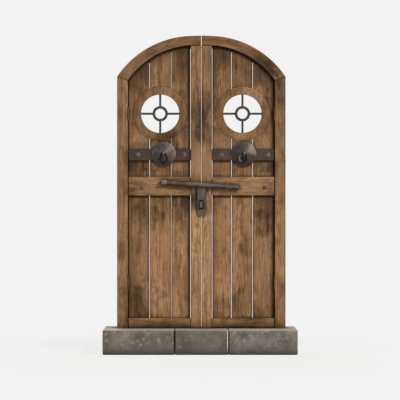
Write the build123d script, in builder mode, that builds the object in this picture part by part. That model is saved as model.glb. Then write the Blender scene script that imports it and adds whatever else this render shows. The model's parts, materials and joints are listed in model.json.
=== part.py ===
from build123d import *
import os
from math import acos, atan2, cos, degrees, radians, sin, sqrt

# Arched double-leaf plank door in its rebated frame, standing on a sill of three stones.
# Millimetres, +Z up, the front faces -Y, origin under the middle of the sill.

os.makedirs("parts", exist_ok=True)

# Sill stones
sill_width = 1444.0
sill_depth = 360.0
sill_height = 184.0
sill_round = 9.0
joint_bevel = 2.0
left_joint_x = -188.0
right_joint_x = 209.0
mortar_width = 5.0
mortar_recess = 6.0
mortar_foot = 24.0

# Frame of two jambs and two arch halves
door_offset = 9.0
frame_half_width = 631.5
spring_height = 1888.0
arch_rise = 307.0
crown_radius_share = 2.21
shoulder_radius_share = 0.859
jamb_width = 79.5
arch_width = 71.0
mitre_drop = 28.0
frame_front_y = -15.0
frame_depth = 110.0
frame_arris = 3.0
stop_width = 15.0
stop_clearance = 3.0
crown_gap = 4.0
cramp_length = 130.0
cramp_height = 11.0
cramp_thickness = 5.0
dowel_radius = 9.0
dowel_depth = 45.0
dowel_clearance = 0.15
fixing_radius = 6.0
fixing_low = 300.0
fixing_spacing = 1200.0

# Leaves
hanging_gap = 5.0
head_gap = 4.0
foot_gap = 4.0
meeting_gap = 2.0
meeting_bevel = 4.0
stile_width = 79.0
stile_recess = 2.0
stile_gap = 3.2
plank_recess = 22.0
plank_thickness = 34.0
plank_gap = 4.0
narrow_gap = 2.5
plank_arris = 2.0
left_inner_joint_share = 0.3079
left_outer_joint_share = 0.6593
right_inner_joint_share = 0.31
right_outer_joint_share = 0.6529

# Rails on the front and ledges on the back
rail_thickness = 18.0
rail_arris = 2.5
rail_end_gap = 0.5
mid_rail_share = 0.5275
mid_rail_height = 140.0
bottom_rail_height = 71.0
ledge_thickness = 22.0
strap_ledge_height = 80.0
mid_ledge_height = 100.0
bottom_ledge_height = 60.0
ledge_arris = 4.0
ledge_outer_gap = 9.0
ledge_inner_gap = 28.0
bottom_ledge_low = 4.0

# Iron straps
strap_share = 0.6901
strap_height = 85.0
strap_thickness = 8.0
strap_end_gap = 2.0

# Round windows
window_inner_margin = 21.8
window_outer_margin = 34.0
window_boss_gap = 8.5
window_ring_width = 42.5
window_ring_bevel = 18.0
window_ring_thickness = 7.0
window_ring_lip = 2.5
window_ring_round = 4.0
hoop_cover = 1.0
hoop_width = 8.0
hoop_clearance = 0.5
grille_thickness = 9.0
grille_bar_width = 16.0
grille_eye_radius = 58.0
grille_eye_width = 20.0

# Domed studs and the roves behind them
shank_radius = 5.0
shank_clearance = 0.2
strap_stud_radius = 16.0
strap_stud_height = 9.0
rail_stud_radius = 18.0
rail_stud_height = 10.0
rail_stud_rise = 60.0
rove_radius = 12.0
rove_thickness = 3.0
left_strap_stud_inner = 47.0
left_strap_stud_outer = 73.0
right_strap_stud_inner = 73.0
right_strap_stud_outer = 43.0
left_rail_stud_inner = 97.0
left_rail_stud_outer = 100.0
right_rail_stud_outer = 74.0
plank_stud_inner = 29.5
plank_stud_drop = 125.0
plank_stud_radius = 14.0
plank_stud_height = 8.0

# Cone bosses, ring eyes and pull rings
left_boss_share = 0.4286
right_boss_share = 0.5149
boss_rise = 4.0
boss_radius = 91.0
boss_height = 52.0
boss_rim = 5.0
boss_rim_width = 9.0
boss_wall = 6.0
boss_tip_radius = 12.0
eye_shank_radius = 6.0
eye_collar_radius = 10.0
eye_collar_height = 5.0
eye_reach = 12.0
eye_radius = 11.0
eye_thickness = 10.0
ring_bar_radius = 6.0
ring_clearance = 0.4
ring_top_half = 7.0
ring_shoulder_radius = 9.0
ring_bow_radius = 26.5
ring_drop = 36.0
left_eye_turn = 0.0
right_eye_turn = 20.0

# Butt hinges at the front arris of the jambs
knuckle_radius = 4.0
knuckle_clearance = 0.5
hinge_proud = 1.0
knuckle_gap = 0.6
hinge_length = 96.0
hinge_plate = 2.0
hinge_depth = 46.0
hinge_low = 300.0
hinge_drop = 328.0
hinge_pin_radius = 1.9
hinge_pin_clearance = 0.2
hinge_pin_tip = 3.0
hinge_pin_tip_radius = 3.2

# Sliding bolt, laid slightly aslant across both leaves
bolt_tilt = 3.86
bolt_rise = 80.5
bolt_clear_of_stile = 2.6
bolt_radius = 13.0
bolt_left = -299.0
bolt_right = 184.0
bolt_tip_bevel = 3.0
bolt_shaft_radius = 15.0
bolt_shaft_end = 150.0
knob_length = 38.0
knob_radius = 21.0
knob_round = 6.0
bolt_collar_radius = 17.0
bolt_collar_width = 5.0
running_clearance = 0.4
outer_staple_left = -222.0
outer_staple_right = -189.0
inner_staple_left = -117.0
inner_staple_right = -90.0
staple_strap = 4.0
tang_depth = 14.0
tang_clearance = 0.2
keeper_mouth_gap = 2.0
keeper_length = 105.0
keeper_radius = 18.5
keeper_flare = 1.5
keeper_flare_length = 9.0
keeper_sleeve = 42.0
keeper_nose_radius = 14.5
keeper_nose_bevel = 5.0
keeper_plate_height = 30.0
keeper_plate_thickness = 8.0
keeper_tang_length = 14.0
keeper_tang_height = 20.0

# Hasp on the bolt and its staple on the left meeting stile
hasp_left = -31.0
hasp_right = 35.0
hasp_wall = 4.0
hasp_barrel_left = -84.0
hasp_barrel_right = 81.0
hasp_plate = 5.0
hasp_plate_back = 14.0
hasp_length = 233.0
hasp_corner = 24.0
hasp_arris = 1.2
slot_left = -16.0
slot_right = 18.0
slot_drop = 115.5
slot_length = 70.0
slot_corner = 5.0
hasp_staple_left = -11.0
hasp_staple_right = 9.0
hasp_staple_height = 44.0
hasp_staple_reach = 29.0
hasp_staple_round = 10.0
hasp_staple_hole = 5.0
staple_plate_left = -24.0
staple_plate_right = 20.0
staple_plate_height = 84.0
staple_plate_thickness = 3.0
staple_plate_relief = 1.0
staple_plate_corner = 5.0

# One overrun serves every cut
overrun = 50.0

# Heights above the floor
leaf_low_z = sill_height + foot_gap
spring_z = sill_height + spring_height
crown_z = spring_z + arch_rise
strap_z = sill_height + strap_share * spring_height
boss_z = strap_z + boss_rise
mid_rail_low_z = sill_height + mid_rail_share * spring_height
mid_rail_z = mid_rail_low_z + mid_rail_height / 2
rail_stud_z = mid_rail_low_z + rail_stud_rise
bottom_ledge_z = leaf_low_z + bottom_ledge_low + bottom_ledge_height / 2
bolt_z = mid_rail_low_z + bolt_rise
slot_z = bolt_z - slot_drop - slot_length / 2

# Depths, from the frame's front face to the back of the ledges
plank_front_y = frame_front_y + plank_recess
plank_back_y = plank_front_y + plank_thickness
stop_y = plank_back_y + stop_clearance
frame_back_y = frame_front_y + frame_depth
stile_front_y = frame_front_y + stile_recess
rail_front_y = plank_front_y - rail_thickness
strap_front_y = plank_front_y - strap_thickness
ledge_back_y = plank_back_y + ledge_thickness
boss_tip_y = strap_front_y - boss_height
eye_y = boss_tip_y - eye_reach

# Radii of the arch's outer edge, as shares of the one arc that would span the frame
frame_arc = (frame_half_width**2 + arch_rise**2) / (2 * arch_rise)
crown_radius = crown_radius_share * frame_arc
shoulder_radius = shoulder_radius_share * frame_arc
crown_centre_z = crown_z - crown_radius


def shoulder_centre(half, spring, crown):
    """Centre of the right shoulder's arc, which runs smoothly into the crown's arc."""
    step = crown_radius - shoulder_radius
    tight = shoulder_radius - (crown_z - crown)
    rise = spring - crown_centre_z
    reach = sqrt(half**2 + rise**2)
    lean = acos((reach**2 + step**2 - tight**2) / (2 * step * reach))
    turn = atan2(half, rise) - lean
    return step * sin(turn), crown_centre_z + step * cos(turn)


# The frame's opening, its stop and the leaves' own outline
mitre_slope = mitre_drop / jamb_width
opening_half = frame_half_width - jamb_width
opening_spring_z = spring_z - mitre_drop
opening_crown_z = crown_z - arch_width
stop_half = opening_half - stop_width
stop_spring_z = opening_spring_z - stop_width * mitre_slope
stop_crown_z = opening_crown_z - stop_width
shoulder_x, shoulder_z = shoulder_centre(opening_half, opening_spring_z, opening_crown_z)
leaf_shoulder = shoulder_radius - arch_width - head_gap
leaf_half = opening_half - hanging_gap
leaf_crown_z = opening_crown_z - head_gap
leaf_spring_z = shoulder_z + sqrt(leaf_shoulder**2 - (leaf_half - shoulder_x) ** 2)

# Leaf widths from the meeting line outwards
stile_inner = meeting_gap / 2
stile_outer = stile_inner + stile_width
plank_inner = stile_outer + stile_gap
plank_field = leaf_half - plank_inner

# Round windows above the bosses, between the stile and the hanging edge
window_ring_radius = (plank_field - window_inner_margin - window_outer_margin) / 2
window_flat_radius = window_ring_radius - window_ring_bevel
window_radius = window_flat_radius - window_ring_width
window_x = plank_inner + window_inner_margin + window_ring_radius
window_z = boss_z + boss_radius + window_boss_gap + window_ring_radius

# Hinge axes, just in front of the frame's face and midway in the hanging gap
hinge_x = leaf_half + hanging_gap / 2
hinge_y = frame_front_y - hinge_proud
hinge_bases = [sill_height + hinge_low, spring_z - hinge_drop]
knuckle_pitch = hinge_length / 3

# Bolt axis: a point on it and its direction
bolt_bore = bolt_radius + running_clearance
hasp_barrel = bolt_bore + hasp_wall
bolt_y = stile_front_y - bolt_clear_of_stile - hasp_barrel
bolt_point = Vector(door_offset, bolt_y, bolt_z)
bolt_along = Vector(cos(radians(bolt_tilt)), 0, -sin(radians(bolt_tilt)))
bolt_up = Vector(sin(radians(bolt_tilt)), 0, cos(radians(bolt_tilt)))
bolt_axis = Axis(bolt_point, bolt_along)
keeper_start = bolt_right + keeper_mouth_gap
keeper_end = keeper_start + keeper_length
keeper_plate_start = keeper_start + keeper_flare_length
keeper_plate_end = keeper_end - keeper_nose_bevel
staple_spans = [(outer_staple_left, outer_staple_right), (inner_staple_left, inner_staple_right)]
staple_outer = bolt_bore + staple_strap


def save(piece, label):
    piece.part.label = label
    export_step(piece.part, f"parts/{label}.step")


def door_plane(y):
    """Upright plane at depth y, centred on the door, looking out of the front."""
    return Plane(origin=(door_offset, y, 0), x_dir=(1, 0, 0), z_dir=(0, -1, 0))


def level_plane(x, y, z):
    return Plane(origin=(door_offset + x, y, z), x_dir=(1, 0, 0), z_dir=(0, 0, 1))


def arch_face(half, spring, crown):
    """Opening with upright sides under an arch of three arcs, the middle one flatter."""
    centre_x, centre_z = shoulder_centre(half, spring, crown)
    tight = shoulder_radius - (crown_z - crown)
    turn = atan2(centre_x, centre_z - crown_centre_z)
    end = atan2(half - centre_x, spring - centre_z)
    join_x = centre_x + tight * sin(turn)
    join_z = centre_z + tight * cos(turn)
    middle_x = centre_x + tight * sin((turn + end) / 2)
    middle_z = centre_z + tight * cos((turn + end) / 2)
    with BuildSketch() as face:
        with BuildLine():
            Polyline((half, spring), (half, sill_height), (-half, sill_height), (-half, spring))
            ThreePointArc((-half, spring), (-middle_x, middle_z), (-join_x, join_z))
            ThreePointArc((-join_x, join_z), (0, crown), (join_x, join_z))
            ThreePointArc((join_x, join_z), (middle_x, middle_z), (half, spring))
        make_face()
    return face.sketch


def polygon_face(corners):
    with BuildSketch() as face:
        with BuildLine():
            Polyline(*corners, close=True)
        make_face()
    return face.sketch


def mitre_height(x):
    return spring_z - (frame_half_width - x) * mitre_slope


def sill_stone(label, x_left, x_right, joints, dowel_x=None):
    """Block with rounded outer edges and a small bevel at its joints: 0 is the left end, -1 the right."""
    with BuildPart() as stone:
        with BuildSketch():
            with Locations(((x_left + x_right) / 2, 0)):
                Rectangle(x_right - x_left, sill_depth)
        extrude(amount=sill_height)
        joint_edges = ShapeList()
        for end in joints:
            joint_edges += stone.faces().filter_by(Axis.X).sort_by(Axis.X)[end].edges()
        fillet(stone.edges() - joint_edges, radius=sill_round)
        for end in joints:
            chamfer(stone.faces().filter_by(Axis.X).sort_by(Axis.X)[end].edges(), length=joint_bevel)
        if dowel_x is not None:
            with Locations((door_offset + dowel_x, dowel_y, sill_height)):
                Hole(dowel_radius + dowel_clearance, depth=dowel_depth + dowel_clearance)
    save(stone, label)


def frame_region(side, above):
    """The side of the mitre that a jamb or an arch half lies on."""
    inner = side * crown_gap / 2
    outer = side * frame_half_width
    level = crown_z if above else sill_height
    return [(inner, mitre_height(crown_gap / 2)), (outer, spring_z), (outer, level), (inner, level)]


def frame_solid(side, above):
    """Rebated section: the wide front part and the stop behind the leaves."""
    with BuildSketch(door_plane(stop_y)) as front:
        add(arch_face(frame_half_width, spring_z, crown_z))
        add(arch_face(opening_half, opening_spring_z, opening_crown_z), mode=Mode.SUBTRACT)
        add(polygon_face(frame_region(side, above)), mode=Mode.INTERSECT)
    extrude(front.sketch, amount=stop_y - frame_front_y)
    with BuildSketch(door_plane(frame_back_y)) as back:
        add(arch_face(frame_half_width, spring_z, crown_z))
        add(arch_face(stop_half, stop_spring_z, stop_crown_z), mode=Mode.SUBTRACT)
        add(polygon_face(frame_region(side, above)), mode=Mode.INTERSECT)
    extrude(back.sketch, amount=frame_back_y - stop_y)


def jamb(label, side):
    with BuildPart() as post:
        frame_solid(side, above=False)
        chamfer(post.faces().sort_by(Axis.Y)[0].edges().filter_by(Axis.Z), length=frame_arris)
        with BuildSketch(level_plane(side * jamb_centre, dowel_y, sill_height)):
            Circle(dowel_radius + dowel_clearance)
        extrude(amount=dowel_depth + dowel_clearance, mode=Mode.SUBTRACT)
        with BuildSketch(Plane.YZ.offset(door_offset + side * jamb_centre)):
            with Locations((dowel_y, fixing_low_z), (dowel_y, fixing_low_z + fixing_spacing)):
                Circle(fixing_radius)
        extrude(amount=jamb_width, both=True, mode=Mode.SUBTRACT)
    save(post, label)


def arch_half(label, side):
    with BuildPart() as head:
        frame_solid(side, above=True)
        chamfer(head.faces().sort_by(Axis.Y)[0].edges().filter_by(GeomType.CIRCLE), length=frame_arris)
    save(head, label)


def plank(label, side, inner, outer, low, high, holes):
    """One board, its top following the arch and its edge the round window."""
    with BuildPart() as board:
        with BuildSketch(door_plane(plank_back_y)):
            add(arch_face(leaf_half, leaf_spring_z, leaf_crown_z))
            with Locations((side * (inner + outer) / 2, (low + high) / 2)):
                Rectangle(outer - inner, high - low, mode=Mode.INTERSECT)
            with Locations((side * window_x, window_z)):
                Circle(window_hole, mode=Mode.SUBTRACT)
            for x, z, radius in holes:
                if inner < side * x < outer and low < z < high:
                    with Locations((x, z)):
                        Circle(radius, mode=Mode.SUBTRACT)
        extrude(amount=plank_thickness)
        chamfer(board.faces().sort_by(Axis.Y)[0].edges().filter_by(Axis.Z), length=plank_arris)
    save(board, label)


def meeting_stile(label, side):
    with BuildPart() as stile:
        with BuildSketch(door_plane(plank_back_y)):
            add(arch_face(leaf_half, leaf_spring_z, leaf_crown_z))
            with Locations((side * (stile_inner + stile_outer) / 2, (leaf_low_z + crown_z) / 2)):
                Rectangle(stile_width, crown_z - leaf_low_z, mode=Mode.INTERSECT)
        extrude(amount=plank_back_y - stile_front_y)
        with BuildSketch(level_plane(0, 0, leaf_low_z)):
            edge = side * stile_inner
            bevelled = side * (stile_inner + meeting_bevel)
            add(polygon_face([(edge, stile_front_y), (edge, plank_back_y), (bevelled, plank_back_y)]))
        extrude(amount=crown_z, mode=Mode.SUBTRACT)
        chamfer(
            stile.faces().sort_by(Axis.Y)[0].edges().filter_by(Axis.Z).sort_by(Axis.X)[0 if side < 0 else -1],
            length=plank_arris,
        )
    save(stile, label)


def cross_board(side, inner, outer, centre_z, height, back_y, thickness, holes):
    """A level board or strap across one leaf, drilled for what passes through it."""
    with BuildSketch(door_plane(back_y)) as outline:
        with Locations((side * (inner + outer) / 2, centre_z)):
            Rectangle(outer - inner, height)
        for x, z, radius in holes:
            if abs(z - centre_z) < height / 2:
                with Locations((x, z)):
                    Circle(radius, mode=Mode.SUBTRACT)
    extrude(outline.sketch, amount=thickness)


def rail(label, side, centre_z, height, holes, mortises=None):
    with BuildPart() as board:
        inner = stile_outer + rail_end_gap
        cross_board(side, inner, leaf_half, centre_z, height, plank_front_y, rail_thickness, holes)
        chamfer(board.faces().sort_by(Axis.Y)[0].edges().filter_by(GeomType.LINE), length=rail_arris)
        if mortises is not None:
            extrude(mortises, amount=-tang_depth - tang_clearance, mode=Mode.SUBTRACT)
    save(board, label)


def strap(label, side, holes):
    with BuildPart() as iron:
        cross_board(
            side,
            stile_outer + strap_end_gap,
            leaf_half - strap_end_gap,
            strap_z,
            strap_height,
            plank_front_y,
            strap_thickness,
            holes,
        )
    save(iron, label)


def ledges(label, side, holes):
    with BuildPart() as boards:
        for centre_z, height in (
            (bottom_ledge_z, bottom_ledge_height),
            (mid_rail_z, mid_ledge_height),
            (strap_z, strap_ledge_height),
        ):
            cross_board(
                side,
                ledge_inner_gap,
                stop_half - ledge_outer_gap,
                centre_z,
                height,
                ledge_back_y,
                ledge_thickness,
                holes,
            )
        back_faces = boards.faces().filter_by(Plane.XZ).group_by(Axis.Y)[-1]
        chamfer(back_faces.edges().filter_by(GeomType.LINE), length=ledge_arris)
    save(boards, label)


def grille(label, side):
    """Iron hoop behind the wooden ring, with a cross and a middle eye."""
    with BuildPart() as iron:
        with BuildSketch(door_plane(plank_front_y + grille_thickness)):
            with Locations((side * window_x, window_z)):
                Circle(hoop_radius + hoop_width)
                Circle(hoop_radius, mode=Mode.SUBTRACT)
                Rectangle(2 * hoop_radius + hoop_width, grille_bar_width)
                Rectangle(grille_bar_width, 2 * hoop_radius + hoop_width)
                Circle(grille_eye_radius)
                Circle(grille_eye_radius - grille_eye_width, mode=Mode.SUBTRACT)
        extrude(amount=grille_thickness)
    save(iron, label)


def turned(x, z, profile, dome_radius=None):
    """Turn a half section, given as (radius, depth) points, about a line along Y.

    With a dome radius, an arc joins the first two points.
    """
    with BuildSketch(level_plane(x, 0, z)) as section:
        with BuildLine():
            if dome_radius is None:
                Polyline(*profile, close=True)
            else:
                dome = RadiusArc(profile[0], profile[1], dome_radius)
                Polyline(dome @ 1, *profile[2:], dome @ 0)
        make_face()
    revolve(section.sketch, axis=Axis((door_offset + x, 0, z), (0, 1, 0)))


def window_ring(label, side):
    """Wooden ring with a flat face and a shallow bevel down to the planks."""
    face_y = plank_front_y - window_ring_thickness
    with BuildPart() as ring:
        turned(
            side * window_x,
            window_z,
            [
                (window_radius, plank_front_y),
                (window_radius, face_y),
                (window_flat_radius, face_y),
                (window_ring_radius, plank_front_y - window_ring_lip),
                (window_ring_radius, plank_front_y),
            ],
        )
        fillet(ring.faces().sort_by(Axis.Y)[0].edges(), radius=window_ring_round)
    save(ring, label)


def studs(label, places):
    """Domed heads on shanks riveted at the back: (x, z, seat depth, radius, height, back)."""
    with BuildPart() as nails:
        for x, z, seat, radius, height, back in places:
            end = back + rove_thickness
            turned(
                x,
                z,
                [(0, seat - height), (radius, seat), (shank_radius, seat), (shank_radius, end), (0, end)],
                dome_radius=(radius**2 + height**2) / (2 * height),
            )
    save(nails, label)


def roves(label, places):
    """Washers on the shanks: (x, z, hole radius, seat depth)."""
    with BuildPart() as washers:
        for x, z, radius, seat in places:
            with BuildSketch(door_plane(seat + rove_thickness)):
                with Locations((x, z)):
                    Circle(rove_radius)
                    Circle(radius, mode=Mode.SUBTRACT)
            extrude(amount=rove_thickness)
    save(washers, label)


def boss(label, x):
    rim_y = strap_front_y - boss_rim
    bore = eye_shank_radius + shank_clearance
    with BuildPart() as cone:
        turned(
            x,
            boss_z,
            [
                (boss_radius, strap_front_y),
                (boss_radius, rim_y),
                (boss_tip_radius, boss_tip_y),
                (bore, boss_tip_y),
                (bore, boss_tip_y + boss_wall),
                (boss_tip_radius, boss_tip_y + boss_wall),
                (boss_radius - boss_rim_width, strap_front_y),
            ],
        )
    save(cone, label)


def eye_axis(turn):
    return Vector(cos(radians(turn)), 0, -sin(radians(turn)))


def ring_eye(label, x, turn):
    back = ledge_back_y + rove_thickness
    collar_y = boss_tip_y - eye_collar_height
    eye_plane = Plane(origin=(door_offset + x, eye_y, boss_z), x_dir=(0, -1, 0), z_dir=eye_axis(turn))
    with BuildPart() as eye:
        turned(
            x,
            boss_z,
            [
                (0, collar_y),
                (eye_collar_radius, collar_y),
                (eye_collar_radius, boss_tip_y),
                (eye_shank_radius, boss_tip_y),
                (eye_shank_radius, back),
                (0, back),
            ],
        )
        with BuildSketch(eye_plane):
            Circle(eye_radius)
            with Locations((-eye_reach / 2, 0)):
                Rectangle(eye_reach, 2 * eye_collar_radius)
            Circle(ring_bar_radius + ring_clearance, mode=Mode.SUBTRACT)
        extrude(amount=eye_thickness / 2, both=True)
    save(eye, label)


def pull_ring(label, x, turn):
    """Pear-shaped drop ring: a straight bar in the eye, shoulders, straight sides and a round bow."""
    centre = Vector(door_offset + x, eye_y, boss_z)
    along = eye_axis(turn)
    reach = sqrt(ring_top_half**2 + (ring_drop - ring_shoulder_radius) ** 2)
    lean = atan2(ring_drop - ring_shoulder_radius, ring_top_half)
    side_angle = lean - acos((ring_bow_radius - ring_shoulder_radius) / reach)
    side_degrees = degrees(side_angle)
    with BuildPart() as ring:
        with BuildLine(Plane(origin=centre, x_dir=along, z_dir=(0, -1, 0))) as path:
            top = Line((0, 0), (ring_top_half, 0))
            shoulder = CenterArc(
                (ring_top_half, -ring_shoulder_radius), ring_shoulder_radius, 90, side_degrees - 90
            )
            bow = CenterArc((0, -ring_drop), ring_bow_radius, side_degrees, -90 - side_degrees)
            Line(shoulder @ 1, bow @ 0)
        with BuildSketch(Plane(origin=centre, z_dir=along)):
            Circle(ring_bar_radius)
        sweep(path=path.wires()[0])
        mirror(about=Plane(origin=centre, z_dir=along))
    save(ring, label)


def hinge_half(label, side, toward_jamb, knuckles):
    """Plates in the hanging gap, with the knuckles of one half of each hinge."""
    plate_x = side * toward_jamb * (hanging_gap - hinge_plate) / 2
    link = knuckle_radius + knuckle_clearance
    with BuildPart() as plates:
        for base in hinge_bases:
            with BuildSketch(level_plane(side * hinge_x, hinge_y, base)):
                with Locations((plate_x, (link + hinge_depth) / 2)):
                    Rectangle(hinge_plate, hinge_depth - link)
            extrude(amount=hinge_length)
            for step in knuckles:
                low = base + step * knuckle_pitch + knuckle_gap / 2
                with BuildSketch(level_plane(side * hinge_x, hinge_y, low)):
                    Circle(knuckle_radius)
                    with Locations((plate_x, link / 2)):
                        Rectangle(hinge_plate, link)
                    Circle(hinge_pin_radius + hinge_pin_clearance, mode=Mode.SUBTRACT)
                extrude(amount=knuckle_pitch - knuckle_gap)
    save(plates, label)


def hinge_pins(label, side):
    with BuildPart() as pins:
        for base in hinge_bases:
            with BuildSketch(level_plane(side * hinge_x, hinge_y, base)):
                Circle(hinge_pin_radius)
            extrude(amount=hinge_length)
            for tip_z in (base - hinge_pin_tip, base + hinge_length):
                with BuildSketch(level_plane(side * hinge_x, hinge_y, tip_z)):
                    Circle(hinge_pin_tip_radius)
                extrude(amount=hinge_pin_tip)
    save(pins, label)


def bolt_plane(y):
    """Upright plane at depth y, its x along the slanted bolt."""
    return Plane(origin=(bolt_point.X, y, bolt_point.Z), x_dir=bolt_along, z_dir=(0, -1, 0))


def bolt_section(along):
    """Plane square to the bolt: x is up across the bar and y is out of the front."""
    return Plane(origin=bolt_point + bolt_along * along, x_dir=bolt_up, z_dir=bolt_along)


def bolt_bar():
    knob_end = bolt_left + knob_length
    first = hasp_barrel_left - running_clearance
    second = hasp_barrel_right + running_clearance
    outline = [
        (bolt_left - knob_round, 0),
        (bolt_left - knob_round, knob_radius - knob_round),
        (bolt_left, knob_radius),
        (knob_end, knob_radius),
        (knob_end + knob_round, bolt_radius),
        (first - bolt_collar_width, bolt_radius),
        (first - bolt_collar_width, bolt_collar_radius),
        (first, bolt_collar_radius),
        (first, bolt_radius),
        (second, bolt_radius),
        (second, bolt_collar_radius),
        (second + bolt_collar_width, bolt_collar_radius),
        (second + bolt_collar_width, bolt_shaft_radius),
        (bolt_shaft_end - bolt_tip_bevel, bolt_shaft_radius),
        (bolt_shaft_end, bolt_radius),
        (bolt_right - bolt_tip_bevel, bolt_radius),
        (bolt_right, bolt_radius - bolt_tip_bevel),
        (bolt_right, 0),
    ]
    with BuildPart() as bar:
        with BuildSketch(bolt_plane(bolt_y)):
            add(polygon_face(outline))
        revolve(axis=bolt_axis)
    save(bar, "bolt_bar")


def bolt_staples():
    """Two iron straps bent over the bar, their legs let into the left mid rail."""
    leg = rail_front_y - bolt_y + tang_depth
    with BuildPart() as staples:
        for left, right in staple_spans:
            with BuildSketch(bolt_section(left)):
                Circle(staple_outer)
                with Locations((0, -leg / 2)):
                    Rectangle(2 * staple_outer, leg)
                Circle(bolt_bore, mode=Mode.SUBTRACT)
                with Locations((0, -leg / 2)):
                    Rectangle(2 * bolt_bore, leg, mode=Mode.SUBTRACT)
            extrude(amount=right - left)
    save(staples, "bolt_staples")


def staple_mortises():
    across = bolt_bore + staple_strap / 2
    with BuildSketch(bolt_plane(rail_front_y)) as slots:
        for left, right in staple_spans:
            with Locations(((left + right) / 2, -across), ((left + right) / 2, across)):
                Rectangle(right - left + 2 * tang_clearance, staple_strap + 2 * tang_clearance)
    return slots.sketch


def keeper_tangs(clearance):
    """Outline of the keeper's two tangs where they enter the right mid rail."""
    places = [keeper_plate_start + keeper_tang_length / 2, keeper_plate_end - keeper_tang_length / 2]
    with BuildSketch(bolt_plane(rail_front_y)) as outline:
        with Locations(*[(along, 0) for along in places]):
            Rectangle(keeper_tang_length + 2 * clearance, keeper_tang_height + 2 * clearance)
    return outline.sketch


def bolt_keeper():
    """Socket on the right leaf: flared sleeve, closed nose, back plate and two tangs in the rail."""
    sleeve_end = keeper_start + keeper_sleeve
    outline = [
        (keeper_start, bolt_bore),
        (keeper_start, keeper_radius + keeper_flare),
        (keeper_plate_start, keeper_radius),
        (sleeve_end, keeper_radius),
        (sleeve_end + keeper_nose_bevel, keeper_nose_radius),
        (keeper_plate_end, keeper_nose_radius),
        (keeper_end, keeper_nose_radius - keeper_nose_bevel),
        (keeper_end, 0),
        (sleeve_end, 0),
        (sleeve_end, bolt_bore),
    ]
    with BuildPart() as keeper:
        with BuildSketch(bolt_plane(bolt_y)):
            add(polygon_face(outline))
        revolve(axis=bolt_axis)
        with BuildSketch(bolt_plane(rail_front_y)):
            with Locations(((keeper_plate_start + keeper_plate_end) / 2, 0)):
                Rectangle(keeper_plate_end - keeper_plate_start, keeper_plate_height)
        extrude(amount=keeper_plate_thickness)
        extrude(keeper_tangs(0), amount=-tang_depth)
    save(keeper, "bolt_keeper")


def hasp():
    """Slotted plate hanging from a barrel on the bolt."""
    plate_back_y = bolt_y + hasp_plate_back
    middle = (hasp_left + hasp_right) / 2
    with BuildPart() as plate:
        with BuildSketch(door_plane(plate_back_y)) as outline:
            with Locations((middle, bolt_point.Z - hasp_length / 2)):
                Rectangle(hasp_right - hasp_left, hasp_length)
            fillet(outline.vertices().group_by(Axis.Y)[0], radius=hasp_corner)
            with Locations(((slot_left + slot_right) / 2, slot_z)):
                RectangleRounded(slot_right - slot_left, slot_length, slot_corner, mode=Mode.SUBTRACT)
        extrude(amount=hasp_plate)
        chamfer(plate.faces().sort_by(Axis.Y)[0].edges(), length=hasp_arris)
        with BuildSketch(bolt_section(hasp_barrel_left)):
            Circle(hasp_barrel)
        extrude(amount=hasp_barrel_right - hasp_barrel_left)
        with BuildSketch(bolt_section(hasp_barrel_left - overrun)):
            Circle(bolt_bore)
        extrude(amount=hasp_barrel_right - hasp_barrel_left + 2 * overrun, mode=Mode.SUBTRACT)
    save(plate, "hasp")


def hasp_staple():
    """Iron eye through the hasp's slot, on a plate that is fixed to the left stile and laps the right one."""
    front_y = stile_front_y - hasp_staple_reach
    plate_front_y = stile_front_y - staple_plate_thickness
    with BuildPart() as staple:
        with BuildSketch(Plane.YZ.offset(door_offset + hasp_staple_left)) as profile:
            with Locations(((front_y + plate_front_y) / 2, slot_z)):
                Rectangle(plate_front_y - front_y, hasp_staple_height)
            fillet(profile.vertices().group_by(Axis.X)[0], radius=hasp_staple_round)
            with Locations((front_y + hasp_staple_round, slot_z)):
                Circle(hasp_staple_hole, mode=Mode.SUBTRACT)
        extrude(amount=hasp_staple_right - hasp_staple_left)
        with BuildSketch(door_plane(stile_front_y)):
            with Locations(((staple_plate_left + staple_plate_right) / 2, slot_z)):
                RectangleRounded(
                    staple_plate_right - staple_plate_left, staple_plate_height, staple_plate_corner
                )
        extrude(amount=staple_plate_thickness)
        with BuildSketch(door_plane(stile_front_y)):
            with Locations(((staple_plate_right - stile_inner) / 2, slot_z)):
                Rectangle(staple_plate_right + stile_inner, staple_plate_height)
        extrude(amount=staple_plate_relief, mode=Mode.SUBTRACT)
    save(staple, "hasp_staple")


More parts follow.
